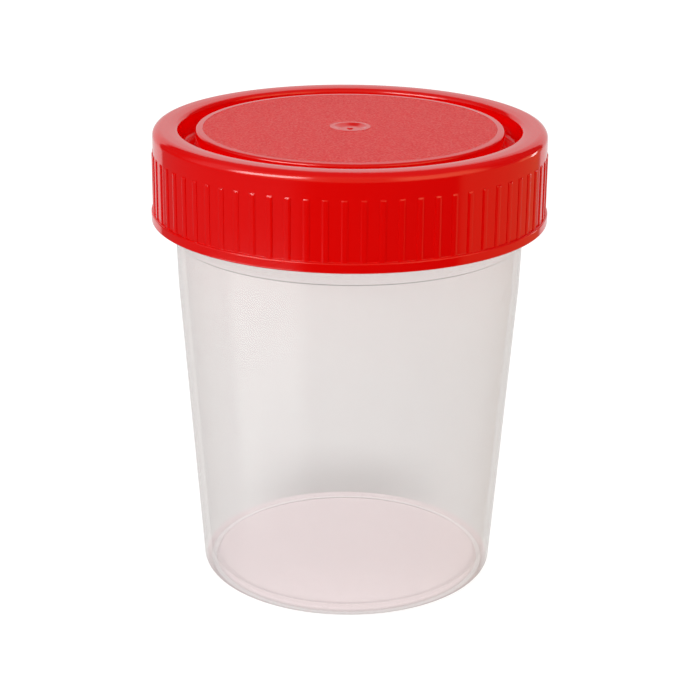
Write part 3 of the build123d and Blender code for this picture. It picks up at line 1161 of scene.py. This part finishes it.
def under_cup_level(tree, along, seen_radius, edge_radius):
    """Painted glow of the floor under the cup, brighter at the front, with painted shade darker along the
    foot.
    """
    plain = ramp(tree, along, *UNDER_CUP_ALONG, UNDER_CUP_FRONT, UNDER_CUP_BACK)
    shade = maths(tree, "MULTIPLY", ramp(tree, edge_radius, *FLOOR_EDGE, 1.0, FLOOR_EDGE_SHADE),
                  ramp(tree, seen_radius, *WALL_FOOT, 1.0, WALL_FOOT_SHADE))
    in_front = ramp(tree, along, *FRONT_TO_BACK, 1.0, SHADE_AT_BACK)
    return maths(tree, "MULTIPLY", plain, blend(tree, "FLOAT", in_front, 1.0, shade))


def open_floor_level(tree, across, along):
    """How brightly the floor round the cup glows, less a soft painted shadow behind it."""
    behind = maths(tree, "MULTIPLY", ramp(tree, along, *BEHIND_SHADOW_ALONG),
                   ramp(tree, off_axis_by(tree, across, along), *BEHIND_SHADOW_RADIUS, 1.0, 0.0))
    aside = maths(tree, "ABSOLUTE", across)
    # Painted shadow: a soft dark patch on the floor behind the cup.
    painted_shadow = maths(tree, "MULTIPLY", behind, ramp(tree, aside, *BEHIND_SHADOW_ACROSS, BEHIND_SHADOW_LEVEL, 0.0))
    plain = ramp(tree, across, -FLOOR_SIDE, FLOOR_SIDE, FLOOR_LEFT, FLOOR_RIGHT)
    return maths(tree, "SUBTRACT", plain, painted_shadow)


# %% Floor
def make_floor_material():
    """Pale floor that glows for the camera only."""
    material = bpy.data.materials.new("pale_floor")
    material.use_nodes = True
    tree = material.node_tree
    shader = next(n for n in tree.nodes if n.type == "BSDF_PRINCIPLED")
    shader.inputs["Roughness"].default_value = FLOOR_ROUGHNESS
    shader.inputs["Specular IOR Level"].default_value = 0.0
    across, along = object_place(tree)[:2]
    seen = tree.nodes.new("ShaderNodeLightPath").outputs["Is Camera Ray"]
    tree.links.new(blend(tree, "RGBA", seen, FLOOR_TONE, FLOOR_SEEN_TONE), shader.inputs["Base Color"])
    seen_radius = off_axis_by(tree, across, maths(tree, "SUBTRACT", along, FOOT_SHIFT))
    edge_radius = off_axis_by(tree, across, maths(tree, "SUBTRACT", along, FLOOR_EDGE_SHIFT))
    beyond_foot = ramp(tree, seen_radius, *FOOT_EDGE)
    # Painted light: the floor glows pink under the cup, for the red light that comes through the lid.
    lid_bounce_tint = blend(tree, "RGBA", beyond_foot, UNDER_CUP_LID_BOUNCE_PINK, FLOOR_WHITE)
    tree.links.new(lid_bounce_tint, shader.inputs["Emission Color"])
    level = blend(tree, "FLOAT", beyond_foot, under_cup_level(tree, along, seen_radius, edge_radius),
                  open_floor_level(tree, across, along))
    tree.links.new(maths(tree, "MULTIPLY", seen, level), shader.inputs["Emission Strength"])
    print("pale floor:", len(tree.nodes), "nodes")
    return material


def make_floor():
    """A square sheet under the cup, hidden from the gloss."""
    mesh = bpy.data.meshes.new("floor")
    corners = [(-1, -1), (1, -1), (1, 1), (-1, 1)]
    mesh.from_pydata([(x * FLOOR_HALF, y * FLOOR_HALF, 0) for x, y in corners], [], [(0, 1, 2, 3)])
    mesh.materials.append(make_floor_material())
    floor = bpy.data.objects.new("floor", mesh)
    bpy.context.scene.collection.objects.link(floor)
    floor.visible_glossy = False


make_floor()
bpy.context.scene.view_settings.view_transform = "Standard"
